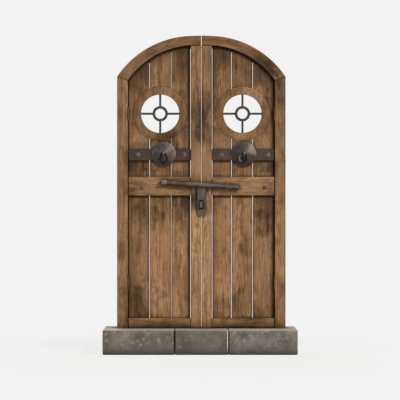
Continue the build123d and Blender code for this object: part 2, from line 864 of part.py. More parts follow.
def leaf(
    name,
    side,
    inner_share,
    inner_gap,
    outer_share,
    boss_share,
    eye_turn,
    strap_studs,
    rail_studs,
    mortises,
):
    """Everything that swings with one leaf, apart from what moves on it."""
    inner_joint = plank_inner + inner_share * plank_field
    outer_joint = plank_inner + outer_share * plank_field
    boss_x = side * (plank_inner + boss_share * plank_field)
    eye_hole = eye_shank_radius + shank_clearance
    fastened = strap_studs + rail_studs
    holes = [(x, z, shank_hole) for x, z, *_ in fastened] + [(boss_x, boss_z, eye_hole)]
    seats = [back for *_, back in fastened] + [ledge_back_y]
    inner_edge = inner_joint - inner_gap / 2
    middle_inner = inner_joint + inner_gap / 2
    middle_outer = outer_joint - plank_gap / 2
    outer_edge = outer_joint + plank_gap / 2
    plank(f"{name}_inner_plank", side, plank_inner, inner_edge, leaf_low_z, crown_z, holes)
    plank(f"{name}_middle_plank_lower", side, middle_inner, middle_outer, leaf_low_z, window_z, holes)
    plank(f"{name}_middle_plank_upper", side, middle_inner, middle_outer, window_z, crown_z, holes)
    plank(f"{name}_outer_plank", side, outer_edge, leaf_half, leaf_low_z, crown_z, holes)
    meeting_stile(f"{name}_meeting_stile", side)
    rail(f"{name}_mid_rail", side, mid_rail_z, mid_rail_height, holes, mortises)
    rail(f"{name}_bottom_rail", side, leaf_low_z + bottom_rail_height / 2, bottom_rail_height, holes)
    ledges(f"{name}_ledges", side, holes)
    strap(f"{name}_strap", side, holes)
    window_ring(f"{name}_window_ring", side)
    grille(f"{name}_window_grille", side)
    studs(f"{name}_strap_studs", strap_studs)
    studs(f"{name}_rail_studs", rail_studs)
    roves(f"{name}_roves", [(*hole, seat) for hole, seat in zip(holes, seats)])
    boss(f"{name}_boss", boss_x)
    ring_eye(f"{name}_ring_eye", boss_x, eye_turn)
    pull_ring(f"{name}_pull_ring", boss_x, eye_turn)
    hinge_half(f"{name}_leaf_hinges", side, -1, [1])


# Places shared by several pieces
dowel_y = (stop_y + frame_back_y) / 2
jamb_centre = frame_half_width - jamb_width / 2
fixing_low_z = sill_height + fixing_low
hoop_radius = window_radius + hoop_cover
window_hole = hoop_radius + hoop_width + hoop_clearance
shank_hole = shank_radius + shank_clearance


def strap_stud(x):
    return (x, strap_z, strap_front_y, strap_stud_radius, strap_stud_height, ledge_back_y)


def rail_stud(x):
    return (x, rail_stud_z, rail_front_y, rail_stud_radius, rail_stud_height, ledge_back_y)


# Sill
half_sill = sill_width / 2
sill_stone("sill_stone_left", -half_sill, left_joint_x - mortar_width / 2, [-1], -jamb_centre)
sill_stone("sill_stone_middle", left_joint_x + mortar_width / 2, right_joint_x - mortar_width / 2, [0, -1])
sill_stone("sill_stone_right", right_joint_x + mortar_width / 2, half_sill, [0], jamb_centre)

with BuildPart() as sill_mortar:
    with BuildSketch(Plane.XY.offset(mortar_recess)):
        with Locations((left_joint_x, 0), (right_joint_x, 0)):
            Rectangle(mortar_width, sill_depth - 2 * (joint_bevel + mortar_recess))
    extrude(amount=sill_height - joint_bevel - 2 * mortar_recess)
    with BuildSketch(Plane.XY.offset(sill_round)):
        with Locations((left_joint_x, 0), (right_joint_x, 0)):
            Rectangle(mortar_width, sill_depth - 2 * joint_bevel)
    extrude(amount=mortar_foot - sill_round)
save(sill_mortar, "sill_mortar")

# Frame
for name, side in (("left", -1), ("right", 1)):
    jamb(f"{name}_jamb", side)
    arch_half(f"{name}_arch_head", side)
    hinge_half(f"{name}_frame_hinges", side, 1, [0, 2])
    hinge_pins(f"{name}_hinge_pins", side)

with BuildPart() as jamb_dowels:
    for side in (-1, 1):
        with BuildSketch(level_plane(side * jamb_centre, dowel_y, sill_height)):
            Circle(dowel_radius)
        extrude(amount=dowel_depth, both=True)
save(jamb_dowels, "jamb_dowels")

with BuildPart() as crown_cramp:
    with BuildSketch(door_plane(frame_back_y + cramp_thickness)):
        with Locations((0, opening_crown_z - stop_width / 2)):
            Rectangle(cramp_length, cramp_height)
    extrude(amount=cramp_thickness)
save(crown_cramp, "crown_cramp")

# Leaves
left_plank_stud = (
    -stile_outer - plank_stud_inner,
    window_z - plank_stud_drop,
    plank_front_y,
    plank_stud_radius,
    plank_stud_height,
    plank_back_y,
)
leaf(
    "left",
    -1,
    left_inner_joint_share,
    narrow_gap,
    left_outer_joint_share,
    left_boss_share,
    left_eye_turn,
    [
        strap_stud(-stile_outer - left_strap_stud_inner),
        strap_stud(left_strap_stud_outer - leaf_half),
        left_plank_stud,
    ],
    [rail_stud(-stile_outer - left_rail_stud_inner), rail_stud(left_rail_stud_outer - leaf_half)],
    staple_mortises(),
)
leaf(
    "right",
    1,
    right_inner_joint_share,
    plank_gap,
    right_outer_joint_share,
    right_boss_share,
    right_eye_turn,
    [strap_stud(stile_outer + right_strap_stud_inner), strap_stud(leaf_half - right_strap_stud_outer)],
    [rail_stud(leaf_half - right_rail_stud_outer)],
    keeper_tangs(tang_clearance),
)

# Fastening
bolt_bar()
bolt_staples()
bolt_keeper()
hasp()
hasp_staple()
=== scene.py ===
import json
import math
from dataclasses import dataclass

import bpy
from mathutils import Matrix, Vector

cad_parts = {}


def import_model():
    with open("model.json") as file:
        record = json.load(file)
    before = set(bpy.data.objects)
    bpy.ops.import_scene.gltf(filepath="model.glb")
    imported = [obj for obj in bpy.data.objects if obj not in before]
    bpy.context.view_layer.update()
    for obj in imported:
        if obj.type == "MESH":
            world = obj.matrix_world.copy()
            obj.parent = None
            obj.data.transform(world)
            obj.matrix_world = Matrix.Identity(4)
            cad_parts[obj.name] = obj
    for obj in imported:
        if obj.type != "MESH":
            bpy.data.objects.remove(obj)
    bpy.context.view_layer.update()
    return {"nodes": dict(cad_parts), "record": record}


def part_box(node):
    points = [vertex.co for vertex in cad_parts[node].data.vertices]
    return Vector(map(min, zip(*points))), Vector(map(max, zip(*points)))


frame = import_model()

nodes = frame["nodes"]


# Colours as seen in the photograph, eight bits a channel


def srgb(red, green, blue):
    """Linear colour, by the sRGB standard's own curve."""
    def linear(value):
        value /= 255
        return value / 12.92 if value <= 0.04045 else ((value + 0.055) / 1.055) ** 2.4
    return (linear(red), linear(green), linear(blue), 1.0)


OAK_LIGHT = srgb(182, 142, 103)
OAK_MID = srgb(153, 115, 79)
OAK_DARK = srgb(104, 75, 49)
# Dark stain colour, also used for painted shade
OAK_STAIN_AND_SHADE = srgb(52, 37, 25)
OAK_RUSSET = srgb(150, 102, 72)
OAK_OCHRE = srgb(142, 114, 72)
# Knot colour, also used for painted shadow
OAK_KNOT_AND_SHADE = srgb(44, 29, 18)
IRON_BASE = srgb(86, 74, 66)
IRON_DARK = srgb(58, 49, 44)
IRON_RUST = srgb(108, 80, 60)
# Worn iron colour, also used for a painted highlight
IRON_WORN_AND_LIT = srgb(142, 126, 114)
# Bare iron colour for the polished fan, also a painted highlight
IRON_BARE_AND_LIT = srgb(206, 170, 142)
# Near-black for painted shade on iron, and for grime in its corners
IRON_SOOT_AND_SHADE = srgb(20, 15, 12)
STONE_BASE = srgb(120, 112, 103)
STONE_LIGHT = srgb(156, 148, 136)
STONE_DARK = srgb(92, 85, 78)
STONE_MOSS = srgb(112, 110, 95)
STONE_TOP = srgb(160, 155, 145)
# Pale colour for a painted highlight on a lit stone edge
STONE_LIT_EDGE = srgb(232, 228, 218)
# Dark joint colour, also used for painted shade against the door's foot
JOINT_AND_SHADE_DARK = srgb(20, 16, 13)
PAGE_WHITE = srgb(242, 242, 242)


# Samples of the test for sheltered corners
SHELTER_SAMPLES = 6


class Graph:
    """Short calls for building the nodes of one material or world."""

    def __init__(self, owner):
        self.owner = owner
        owner.use_nodes = True
        self.tree = owner.node_tree
        self.tree.nodes.clear()

    def node(self, kind, inputs=None, **settings):
        node = self.tree.nodes.new(kind)
        for key, value in settings.items():
            setattr(node, key, value)
        for key, value in (inputs or {}).items():
            self.feed(node.inputs[key], value)
        return node

    def feed(self, socket, value):
        if isinstance(value, bpy.types.NodeSocket):
            self.tree.links.new(value, socket)
        else:
            socket.default_value = value

    def math(self, operation, first, second=0.0):
        return self.node("ShaderNodeMath", {0: first, 1: second}, operation=operation).outputs[0]

    def add(self, first, second):
        return self.math("ADD", first, second)

    def less(self, first, second):
        return self.math("SUBTRACT", first, second)

    def times(self, first, second):
        return self.math("MULTIPLY", first, second)

    def size(self, value):
        return self.math("ABSOLUTE", value)

    def length(self, first, second):
        squares = self.add(self.math("POWER", first, 2.0), self.math("POWER", second, 2.0))
        return self.math("SQRT", squares)

    def weigh(self, *parts):
        """Sum of values, each times its weight."""
        total = 0.0
        for value, weight in parts:
            total = self.add(total, self.times(value, weight))
        return total

    def waver(self, field, width):
        """A noise field moved to lie about zero, as wide as given."""
        return self.times(self.less(field, 0.5), width)

    def place(self):
        return self.node("ShaderNodeTexCoord").outputs["Object"]

    def facing(self, axis):
        """How far the surface faces along x, y or z."""
        return self.split(self.node("ShaderNodeNewGeometry").outputs["Normal"])[axis]

    def humps(self):
        return self.node("ShaderNodeNewGeometry").outputs["Pointiness"]

    def shelter(self, distance):
        """One in the open, and less in corners up to a distance."""
        test = self.node("ShaderNodeAmbientOcclusion", {"Distance": distance}, samples=SHELTER_SAMPLES)
        return test.outputs["AO"]

    def seen(self):
        """One where a surface itself is seen, also in gloss or through glass; zero where it lights others."""
        path = self.node("ShaderNodeLightPath").outputs
        seen = self.math("MAXIMUM", path["Is Camera Ray"], path["Is Glossy Ray"])
        return self.math("MAXIMUM", seen, path["Is Transmission Ray"])

    def split(self, vector):
        parts = self.node("ShaderNodeSeparateXYZ", {0: vector})
        return parts.outputs[0], parts.outputs[1], parts.outputs[2]

    def join(self, x, y, z):
        return self.node("ShaderNodeCombineXYZ", {0: x, 1: y, 2: z}).outputs[0]

    def stretch(self, vector, scale, offset):
        inputs = {"Vector": vector, "Scale": scale, "Location": offset}
        return self.node("ShaderNodeMapping", inputs).outputs[0]

    def noise(self, vector, scale, detail, roughness, distortion=0.0):
        inputs = {
            "Vector": vector,
            "Scale": scale,
            "Detail": detail,
            "Roughness": roughness,
            "Distortion": distortion,
        }
        return self.node("ShaderNodeTexNoise", inputs).outputs["Fac"]

    def cells(self, vector, scale=1.0, feature="F1"):
        return self.node("ShaderNodeTexVoronoi", {"Vector": vector, "Scale": scale}, feature=feature)

    def span(self, value, low, high, start=0.0, end=1.0):
        """Smooth step of a value from low to high."""
        return self.node(
            "ShaderNodeMapRange",
            {"Value": value, "From Min": low, "From Max": high, "To Min": start, "To Max": end},
            interpolation_type="SMOOTHSTEP",
        ).outputs["Result"]

    def mix(self, amount, first, second, blend="MIX"):
        node = self.node("ShaderNodeMix", data_type="RGBA", blend_type=blend)
        for index, value in ((0, amount), (6, first), (7, second)):
            self.feed(node.inputs[index], value)
        return node.outputs[2]

    def layers(self, colour, fields, table):
        """Lay tints over a colour: field, its values where the tint starts and is full, strength, tint."""
        for field, start, full, strength, tint in table:
            colour = self.mix(self.span(fields[field], start, full, 0.0, strength), colour, tint)
        return colour

    def toned(self, colour, tone):
        return self.mix(1.0, colour, (tone, tone, tone, 1.0), blend="MULTIPLY")

    def bump(self, height, strength, distance):
        inputs = {"Height": height, "Strength": strength, "Distance": distance}
        return self.node("ShaderNodeBump", inputs).outputs["Normal"]

    def surface(self, colour, roughness, normal, **sockets):
        inputs = {"Base Color": colour, "Roughness": roughness, "Normal": normal}
        shader = self.node("ShaderNodeBsdfPrincipled", inputs)
        for key, value in sockets.items():
            shader.inputs[key.replace("_", " ")].default_value = value
        self.node("ShaderNodeOutputMaterial", {"Surface": shader.outputs[0]})
        return self.owner


def material_graph(name):
    return Graph(bpy.data.materials.new(name))


def plain_noises(g, space, table):
    """Noise fields that look alike in all directions."""
    return {name: g.noise(space, *values) for name, values in table.items()}


def drifted(g, place, seed, drift):
    """Places moved by a piece's seed, so that no two pieces show the same marks."""
    return g.stretch(place, (1, 1, 1), tuple(seed * step for step in drift))


# Oak: the grain runs along one axis of the board, or round the arch


@dataclass(frozen=True)
class Board:
    """How one oak piece differs from the next."""

    # Axis of the grain, or ARC for round the arch
    grain: str = "Z"
    # Brightness at the foot and at the head of the door
    tone: tuple = (1.0, 1.0)
    # Depth of the blotches and of the growth rings
    stain: float = 0.5
    cathedral: float = 0.5
    seed: float = 0.0
    # Dark line along both long edges
    rim: float = 0.35
    # Open mitre between jamb and arch
    mitre: bool = False
    # Painted shadow along the right-hand edge, cast by a taller piece beside it
    shade: float = 0.0
    # Painted shadow under the strap, the rail and the arch, and how dark it is at the arch
    under: float = 0.0


# Centre of the arch's shoulders from the door's middle line, and the radius of the grain there
DOOR_X = 0.009
SHOULDER_X = 0.0586
SHOULDER_Z = 1.6874
ARCH_RADIUS = 0.6545
ARCH_INNER_RADIUS = 0.619
# The mitre between jamb and arch: its outer end, its slope, and how its dark line fades
MITRE_X = 0.6315
MITRE_Z = 2.072
MITRE_SLOPE = 28 / 79.5
MITRE_LINE = (0.007, 0.001)
MITRE_DARK = 0.75

# Lower edges of the straps and of the middle rails
STRAP_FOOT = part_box("left_strap")[0][2]
RAIL_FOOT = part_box("left_mid_rail")[0][2]
# Painted shadow on the planks below them: strength, and how it fades below and behind the edge
FOOT_SHADOWS = ((STRAP_FOOT, 0.8), (RAIL_FOOT, 0.6))
FOOT_BELOW = (0.03, 0.008)
FOOT_BEHIND = (-0.02, -0.01)
# Painted shadow beside a taller piece, and painted shade under the arch: from its outer reach to where it is
# full
SIDE_SHADOW = (0.036, 0.004)
ARCH_SHADOW_BAND = (ARCH_INNER_RADIUS - 0.036, ARCH_INNER_RADIUS - 0.01)
# Heights over which the painted shade under the arch comes in, and the tone changes from foot to head
HEAD_ZONE = (1.9, 2.05)
WASH_ZONE = (1.15, 1.6)
WASH_FRAY = 0.5
RIM_WIDTH = 0.012

# Noise in the oak: scale across and along the grain, shift across and along, detail, roughness, distortion
OAK_NOISES = {
    "broad": (7.0, 1.4, 0.0, 0.0, 3.0, 0.55, 0.0),
    "streak": (46.0, 2.2, 0.0, 0.0, 4.0, 0.55, 0.6),
    "lines": (110.0, 2.6, 1.7, 2.9, 3.0, 0.55, 0.3),
    "fine": (190.0, 9.0, 0.0, 0.0, 5.0, 0.65, 0.0),
    "pores": (560.0, 24.0, 0.0, 0.0, 2.0, 0.55, 0.0),
    "patch": (9.0, 6.5, 0.0, 0.0, 5.0, 0.62, 0.3),
    "blot": (22.0, 15.0, 3.1, 5.7, 4.0, 0.6, 0.0),
    "hue": (8.0, 5.0, 7.7, 1.3, 3.0, 0.55, 0.0),
    "sway": (0.0, 1.3, 0.0, 0.0, 1.0, 0.55, 0.0),
}
# How far a board's seed moves the noise across and along the grain
OAK_DRIFT = 7.31
OAK_DRIFT_ALONG = 1.7

# Tints under and over the growth rings, as Graph.layers takes them
OAK_UNDER_RINGS = [
    ("broad", 0.36, 0.64, 1.0, OAK_LIGHT),
    ("hue", 0.5, 0.68, 0.6, OAK_OCHRE),
    ("blot", 0.5, 0.66, 0.55, OAK_RUSSET),
    ("streak", 0.48, 0.68, 0.5, OAK_DARK),
    ("streak", 0.42, 0.3, 0.3, OAK_LIGHT),
]
OAK_OVER_RINGS = [
    ("fine", 0.46, 0.7, 0.75, OAK_DARK),
    ("fine", 0.44, 0.26, 0.55, OAK_LIGHT),
    ("lines", 0.56, 0.72, 0.4, OAK_STAIN_AND_SHADE),
    ("pores", 0.54, 0.7, 0.4, OAK_STAIN_AND_SHADE),
    ("blot", 0.46, 0.3, 0.5, OAK_DARK),
]
BLOTCHES = (0.47, 0.74)

# Growth rings: sway of their middle, curve, number a metre across and along, waver, soft edge, depth
TURN = 2 * math.pi
RING_SWAY = 0.16
RING_CURVE = 1.6
RINGS_ACROSS = 210.0
RINGS_ALONG = 4.2
RING_WAVER = 2.2
RING_EDGE = 0.95
RING_DARK = 0.45

# Knots: cells a metre across and along, share of cells left out, ragged edge, edge and heart, depth
KNOTS_ACROSS = 5.0
KNOTS_ALONG = 1.9
KNOTS_LEFT_OUT = 0.72
KNOT_FRAY = 0.05
KNOT_EDGE = (0.14, 0.05)
KNOT_DARK = 0.7

# Raggedness of the placed stains and painted shadows by the noise, and how they fade
STAIN_PATCH = 2.0
STAIN_STREAK = 1.2
STAIN_BLOT = 1.0
STAIN_MIDDLE = 2.1
STAIN_EDGE = (1.5, 0.1)

# Painted shade in the corners, also standing for dirt: reach of the test, tints by shelter, and more painted
# shade under the arch
OAK_CORNER = 0.09
OAK_DIRT_AND_SHADE = [
    ("shelter", 0.95, 0.6, 0.5, OAK_STAIN_AND_SHADE),
    ("shelter", 0.72, 0.5, 0.8, OAK_KNOT_AND_SHADE),
]
ARCH_SHELTER = (0.97, 0.75)
ARCH_SHADE = 0.85

# Surface: relief of grain, rings, streaks and knots, strength and depth of the bump, roughness, gloss
FINE_RELIEF = 0.7
RING_RELIEF = -0.25
STREAK_RELIEF = 0.5
KNOT_RELIEF = -0.4
OAK_BUMP = (0.6, 0.004)
OAK_ROUGH = (0.3, 0.8, 0.68, 0.9)
OAK_GLOSS = 0.12

# Stains, pale patches and painted shadows on the front: middle x and z, half width, half height, strength,
# colour
STAINS_AND_SHADES = [
    # Frame: stains, pale patches, and painted shade at the right end of the arch
    (0.44, 2.2, 0.07, 0.07, 0.7, OAK_STAIN_AND_SHADE),
    (0.51, 2.15, 0.08, 0.08, 0.8, OAK_STAIN_AND_SHADE),
    (0.57, 2.09, 0.05, 0.05, 0.7, OAK_STAIN_AND_SHADE),
    (-0.35, 2.25, 0.06, 0.04, 0.3, OAK_STAIN_AND_SHADE),
    (-0.54, 2.13, 0.05, 0.06, 0.35, OAK_LIGHT),
    (-0.45, 2.21, 0.06, 0.05, 0.3, OAK_LIGHT),
    (-0.59, 1.68, 0.05, 0.08, 0.3, OAK_LIGHT),
    (-0.585, 1.36, 0.05, 0.07, 0.35, OAK_LIGHT),
    (-0.585, 1.08, 0.05, 0.07, 0.35, OAK_LIGHT),
    (-0.57, 0.24, 0.05, 0.05, 0.3, OAK_LIGHT),
    (0.61, 1.25, 0.05, 0.12, 0.3, OAK_LIGHT),
    (0.61, 0.61, 0.05, 0.06, 0.4, OAK_LIGHT),
    (0.6, 2.01, 0.05, 0.09, 0.75, OAK_STAIN_AND_SHADE),
    (0.6, 1.88, 0.04, 0.07, 0.55, OAK_STAIN_AND_SHADE),
    (-0.585, 1.8, 0.05, 0.06, 0.3, OAK_STAIN_AND_SHADE),
    (-0.56, 1.48, 0.03, 0.05, 0.6, OAK_STAIN_AND_SHADE),
    (-0.585, 0.765, 0.03, 0.08, 0.5, OAK_STAIN_AND_SHADE),
    (-0.585, 0.35, 0.05, 0.12, 0.4, OAK_STAIN_AND_SHADE),
    (0.61, 0.49, 0.04, 0.06, 0.35, OAK_STAIN_AND_SHADE),
    # Heads of the leaves: stains, pale patches, and painted shade under the arch
    (-0.15, 2.22, 0.09, 0.16, 0.7, OAK_STAIN_AND_SHADE),
    (-0.4, 2.11, 0.09, 0.09, 0.6, OAK_STAIN_AND_SHADE),
    (-0.45, 2.03, 0.08, 0.1, 0.35, OAK_STAIN_AND_SHADE),
    (0.45, 2.1, 0.09, 0.09, 0.7, OAK_STAIN_AND_SHADE),
    (-0.33, 2.17, 0.06, 0.06, 0.45, OAK_STAIN_AND_SHADE),
    (0.52, 2.02, 0.03, 0.08, 0.6, OAK_STAIN_AND_SHADE),
    (0.165, 2.21, 0.08, 0.14, 0.55, OAK_STAIN_AND_SHADE),
    (0.33, 2.05, 0.07, 0.05, 0.3, OAK_LIGHT),
    (0.13, 1.88, 0.03, 0.09, 0.5, OAK_STAIN_AND_SHADE),
    (0.5, 1.86, 0.04, 0.06, 0.5, OAK_STAIN_AND_SHADE),
    (-0.47, 1.8, 0.04, 0.05, 0.4, OAK_STAIN_AND_SHADE),
    (-0.24, 2.18, 0.04, 0.08, 0.4, OAK_LIGHT),
    (-0.2, 1.63, 0.1, 0.05, 0.4, OAK_STAIN_AND_SHADE),
    (0.48, 1.71, 0.05, 0.08, 0.4, OAK_STAIN_AND_SHADE),
    (-0.28, 1.6, 0.1, 0.07, 0.5, OAK_STAIN_AND_SHADE),
    (-0.47, 1.56, 0.08, 0.03, 0.45, OAK_STAIN_AND_SHADE),
    (0.33, 1.56, 0.07, 0.05, 0.4, OAK_STAIN_AND_SHADE),
    # Meeting stiles: stains, pale patches, and painted shadow of the hasp
    (0.0, 1.8, 0.1, 0.2, 0.75, OAK_STAIN_AND_SHADE),
    (0.03, 1.8, 0.05, 0.06, 0.65, OAK_STAIN_AND_SHADE),
    (-0.02, 1.64, 0.1, 0.09, 0.65, OAK_STAIN_AND_SHADE),
    (-0.045, 1.15, 0.04, 0.1, 0.85, OAK_STAIN_AND_SHADE),
    (0.04, 1.61, 0.05, 0.06, 0.45, OAK_STAIN_AND_SHADE),
    (-0.06, 0.22, 0.05, 0.04, 0.45, OAK_LIGHT),
    (0.01, 1.44, 0.09, 0.12, 0.45, OAK_LIGHT),
    (0.07, 1.09, 0.03, 0.06, 0.45, OAK_STAIN_AND_SHADE),
    # Painted shadow under the straps, and stains and pale patches on the middle rail
    (-0.49, 1.42, 0.09, 0.06, 0.8, OAK_STAIN_AND_SHADE),
    (-0.47, 1.36, 0.08, 0.05, 0.5, OAK_STAIN_AND_SHADE),
    (0.52, 1.39, 0.06, 0.07, 0.8, OAK_STAIN_AND_SHADE),
    (-0.28, 1.225, 0.12, 0.03, 0.3, OAK_LIGHT),
    (0.3, 1.225, 0.16, 0.03, 0.3, OAK_LIGHT),
    (-0.53, 1.22, 0.06, 0.07, 0.75, OAK_STAIN_AND_SHADE),
    (-0.5, 1.28, 0.06, 0.03, 0.4, OAK_STAIN_AND_SHADE),
    (-0.17, 1.345, 0.06, 0.04, 0.5, OAK_STAIN_AND_SHADE),
    (-0.18, 1.55, 0.04, 0.05, 0.5, OAK_STAIN_AND_SHADE),
    (0.53, 1.22, 0.03, 0.06, 0.4, OAK_STAIN_AND_SHADE),
    # Below the middle rail: stains, and painted shade under the rail and beside the hasp
    (-0.12, 1.13, 0.1, 0.1, 0.85, OAK_STAIN_AND_SHADE),
    (-0.38, 1.09, 0.17, 0.1, 0.55, OAK_STAIN_AND_SHADE),
    (-0.41, 1.02, 0.05, 0.05, 0.5, OAK_STAIN_AND_SHADE),
    (-0.32, 1.04, 0.05, 0.11, 0.55, OAK_STAIN_AND_SHADE),
    (-0.19, 1.03, 0.05, 0.07, 0.5, OAK_STAIN_AND_SHADE),
    (-0.35, 0.95, 0.03, 0.06, 0.45, OAK_STAIN_AND_SHADE),
    (-0.11, 0.95, 0.03, 0.05, 0.45, OAK_STAIN_AND_SHADE),
    (0.48, 0.93, 0.05, 0.06, 0.5, OAK_STAIN_AND_SHADE),
    (0.4, 1.03, 0.05, 0.09, 0.4, OAK_STAIN_AND_SHADE),
    (0.49, 1.1, 0.09, 0.14, 0.65, OAK_STAIN_AND_SHADE),
    (0.53, 1.08, 0.04, 0.14, 0.6, OAK_STAIN_AND_SHADE),
    # Feet of the leaves: stains, pale patches, and painted shade above the bottom rails and along the foot
    (-0.5, 0.67, 0.08, 0.08, 0.3, OAK_LIGHT),
    (-0.46, 0.37, 0.09, 0.13, 0.6, OAK_STAIN_AND_SHADE),
    (-0.38, 0.32, 0.06, 0.08, 0.4, OAK_STAIN_AND_SHADE),
    (0.315, 0.79, 0.03, 0.06, 0.5, OAK_STAIN_AND_SHADE),
    (0.3, 0.35, 0.13, 0.11, 0.35, OAK_STAIN_AND_SHADE),
    (0.13, 0.35, 0.04, 0.11, 0.55, OAK_STAIN_AND_SHADE),
    (0.39, 0.25, 0.17, 0.03, 0.6, OAK_STAIN_AND_SHADE),
    (-0.4, 0.26, 0.13, 0.035, 0.5, OAK_STAIN_AND_SHADE),
    (0.38, 0.63, 0.04, 0.08, 0.35, OAK_STAIN_AND_SHADE),
    (-0.26, 0.82, 0.04, 0.14, 0.3, OAK_LIGHT),
    (0.53, 0.51, 0.04, 0.05, 0.35, OAK_LIGHT),
    (0.53, 0.32, 0.04, 0.08, 0.45, OAK_STAIN_AND_SHADE),
    (0.33, 0.188, 0.2, 0.035, 0.6, OAK_STAIN_AND_SHADE),
    (-0.33, 0.188, 0.2, 0.035, 0.6, OAK_STAIN_AND_SHADE),
]


def board_space(g, grain, place):
    """Across, depth and along the grain, in metres."""
    x, y, z = g.split(place)
    if grain == "X":
        return z, y, x
    if grain == "ARC":
        across = g.less(g.size(g.less(x, DOOR_X)), SHOULDER_X)
        up = g.less(z, SHOULDER_Z)
        return g.length(across, up), y, g.times(g.math("ARCTAN2", across, up), ARCH_RADIUS)
    return x, y, z


def oak_noises(g, space):
    """Noise fields drawn out along the grain."""
    fields = {}
    for name, (across, along, shift, slip, *values) in OAK_NOISES.items():
        drawn = g.stretch(space, (across, across, along), (shift, 0.0, slip))
        fields[name] = g.noise(drawn, 1.0, *values)
    return fields


def growth_rings(g, fields, off_middle, along):
    """Rings cut into long arches along the board's middle."""
    off = g.add(off_middle, g.waver(fields["sway"], RING_SWAY))
    arches = g.math("POWER", g.size(off), RING_CURVE)
    rings = g.weigh((arches, RINGS_ACROSS), (along, RINGS_ALONG), (fields["streak"], RING_WAVER))
    return g.span(g.math("SINE", g.times(rings, TURN)), 0.0, RING_EDGE)


def knots(g, fields, across, along):
    """Few knots, long in the grain."""
    cells = g.cells(g.join(g.times(across, KNOTS_ACROSS), 0.0, g.times(along, KNOTS_ALONG)))
    chosen = g.math("GREATER_THAN", g.split(cells.outputs["Color"])[0], KNOTS_LEFT_OUT)
    ragged = g.add(cells.outputs["Distance"], g.times(fields["fine"], KNOT_FRAY))
    return g.times(g.span(ragged, *KNOT_EDGE), chosen)


def touches(stain, grain, low, high):
    """A stain or painted shadow keeps to the arch, the rail or the upright boards, whichever its middle lies
    on.
    """
    x, z, half_width, half_height = stain[:4]
    radius = math.hypot(abs(x - DOOR_X) - SHOULDER_X, z - SHOULDER_Z)
    on_arch = radius > ARCH_INNER_RADIUS and z > MITRE_Z
    spread = 0.0 if grain == "X" else half_height
    in_width = low[0] - half_width < x < high[0] + half_width
    in_height = low[2] - spread < z < high[2] + spread
    return in_width and in_height and on_arch == (grain == "ARC")


def placed_stains_and_shades(g, colour, fields, x, z, stains_and_shades):
    """Stains and painted shadows where the photograph has them, ragged along the grain."""
    torn = g.weigh(
        (fields["patch"], STAIN_PATCH), (fields["streak"], STAIN_STREAK), (fields["blot"], STAIN_BLOT)
    )
    for middle_x, middle_z, half_width, half_height, strength, tint in stains_and_shades:
        side = g.math("DIVIDE", g.less(x, middle_x), half_width)
        rise = g.math("DIVIDE", g.less(z, middle_z), half_height)
        reach = g.less(g.length(side, rise), g.less(torn, STAIN_MIDDLE))
        colour = g.mix(g.span(reach, *STAIN_EDGE, 0.0, strength), colour, tint)
    return colour


def mitre_line(g, x, z):
    """Open mitre where the arch stands on the jambs."""
    side = g.less(MITRE_X, g.size(g.less(x, DOOR_X)))
    level = g.less(MITRE_Z, g.times(side, MITRE_SLOPE))
    return g.span(g.size(g.less(z, level)), *MITRE_LINE, 0.0, MITRE_DARK)


def plank_shadows(g, colour, place, under):
    """Painted shadow on a plank under the strap, the middle rail and the arch."""
    z = g.split(place)[2]
    for foot, strength in FOOT_SHADOWS:
        below = g.less(foot, z)
        line = g.times(g.span(below, *FOOT_BELOW), g.span(below, *FOOT_BEHIND, 0.0, strength))
        colour = g.mix(line, colour, OAK_KNOT_AND_SHADE)
    radius = board_space(g, "ARC", place)[0]
    near_arch = g.span(radius, *ARCH_SHADOW_BAND, 0.0, under)
    return g.mix(g.times(near_arch, g.span(z, *HEAD_ZONE)), colour, OAK_KNOT_AND_SHADE)


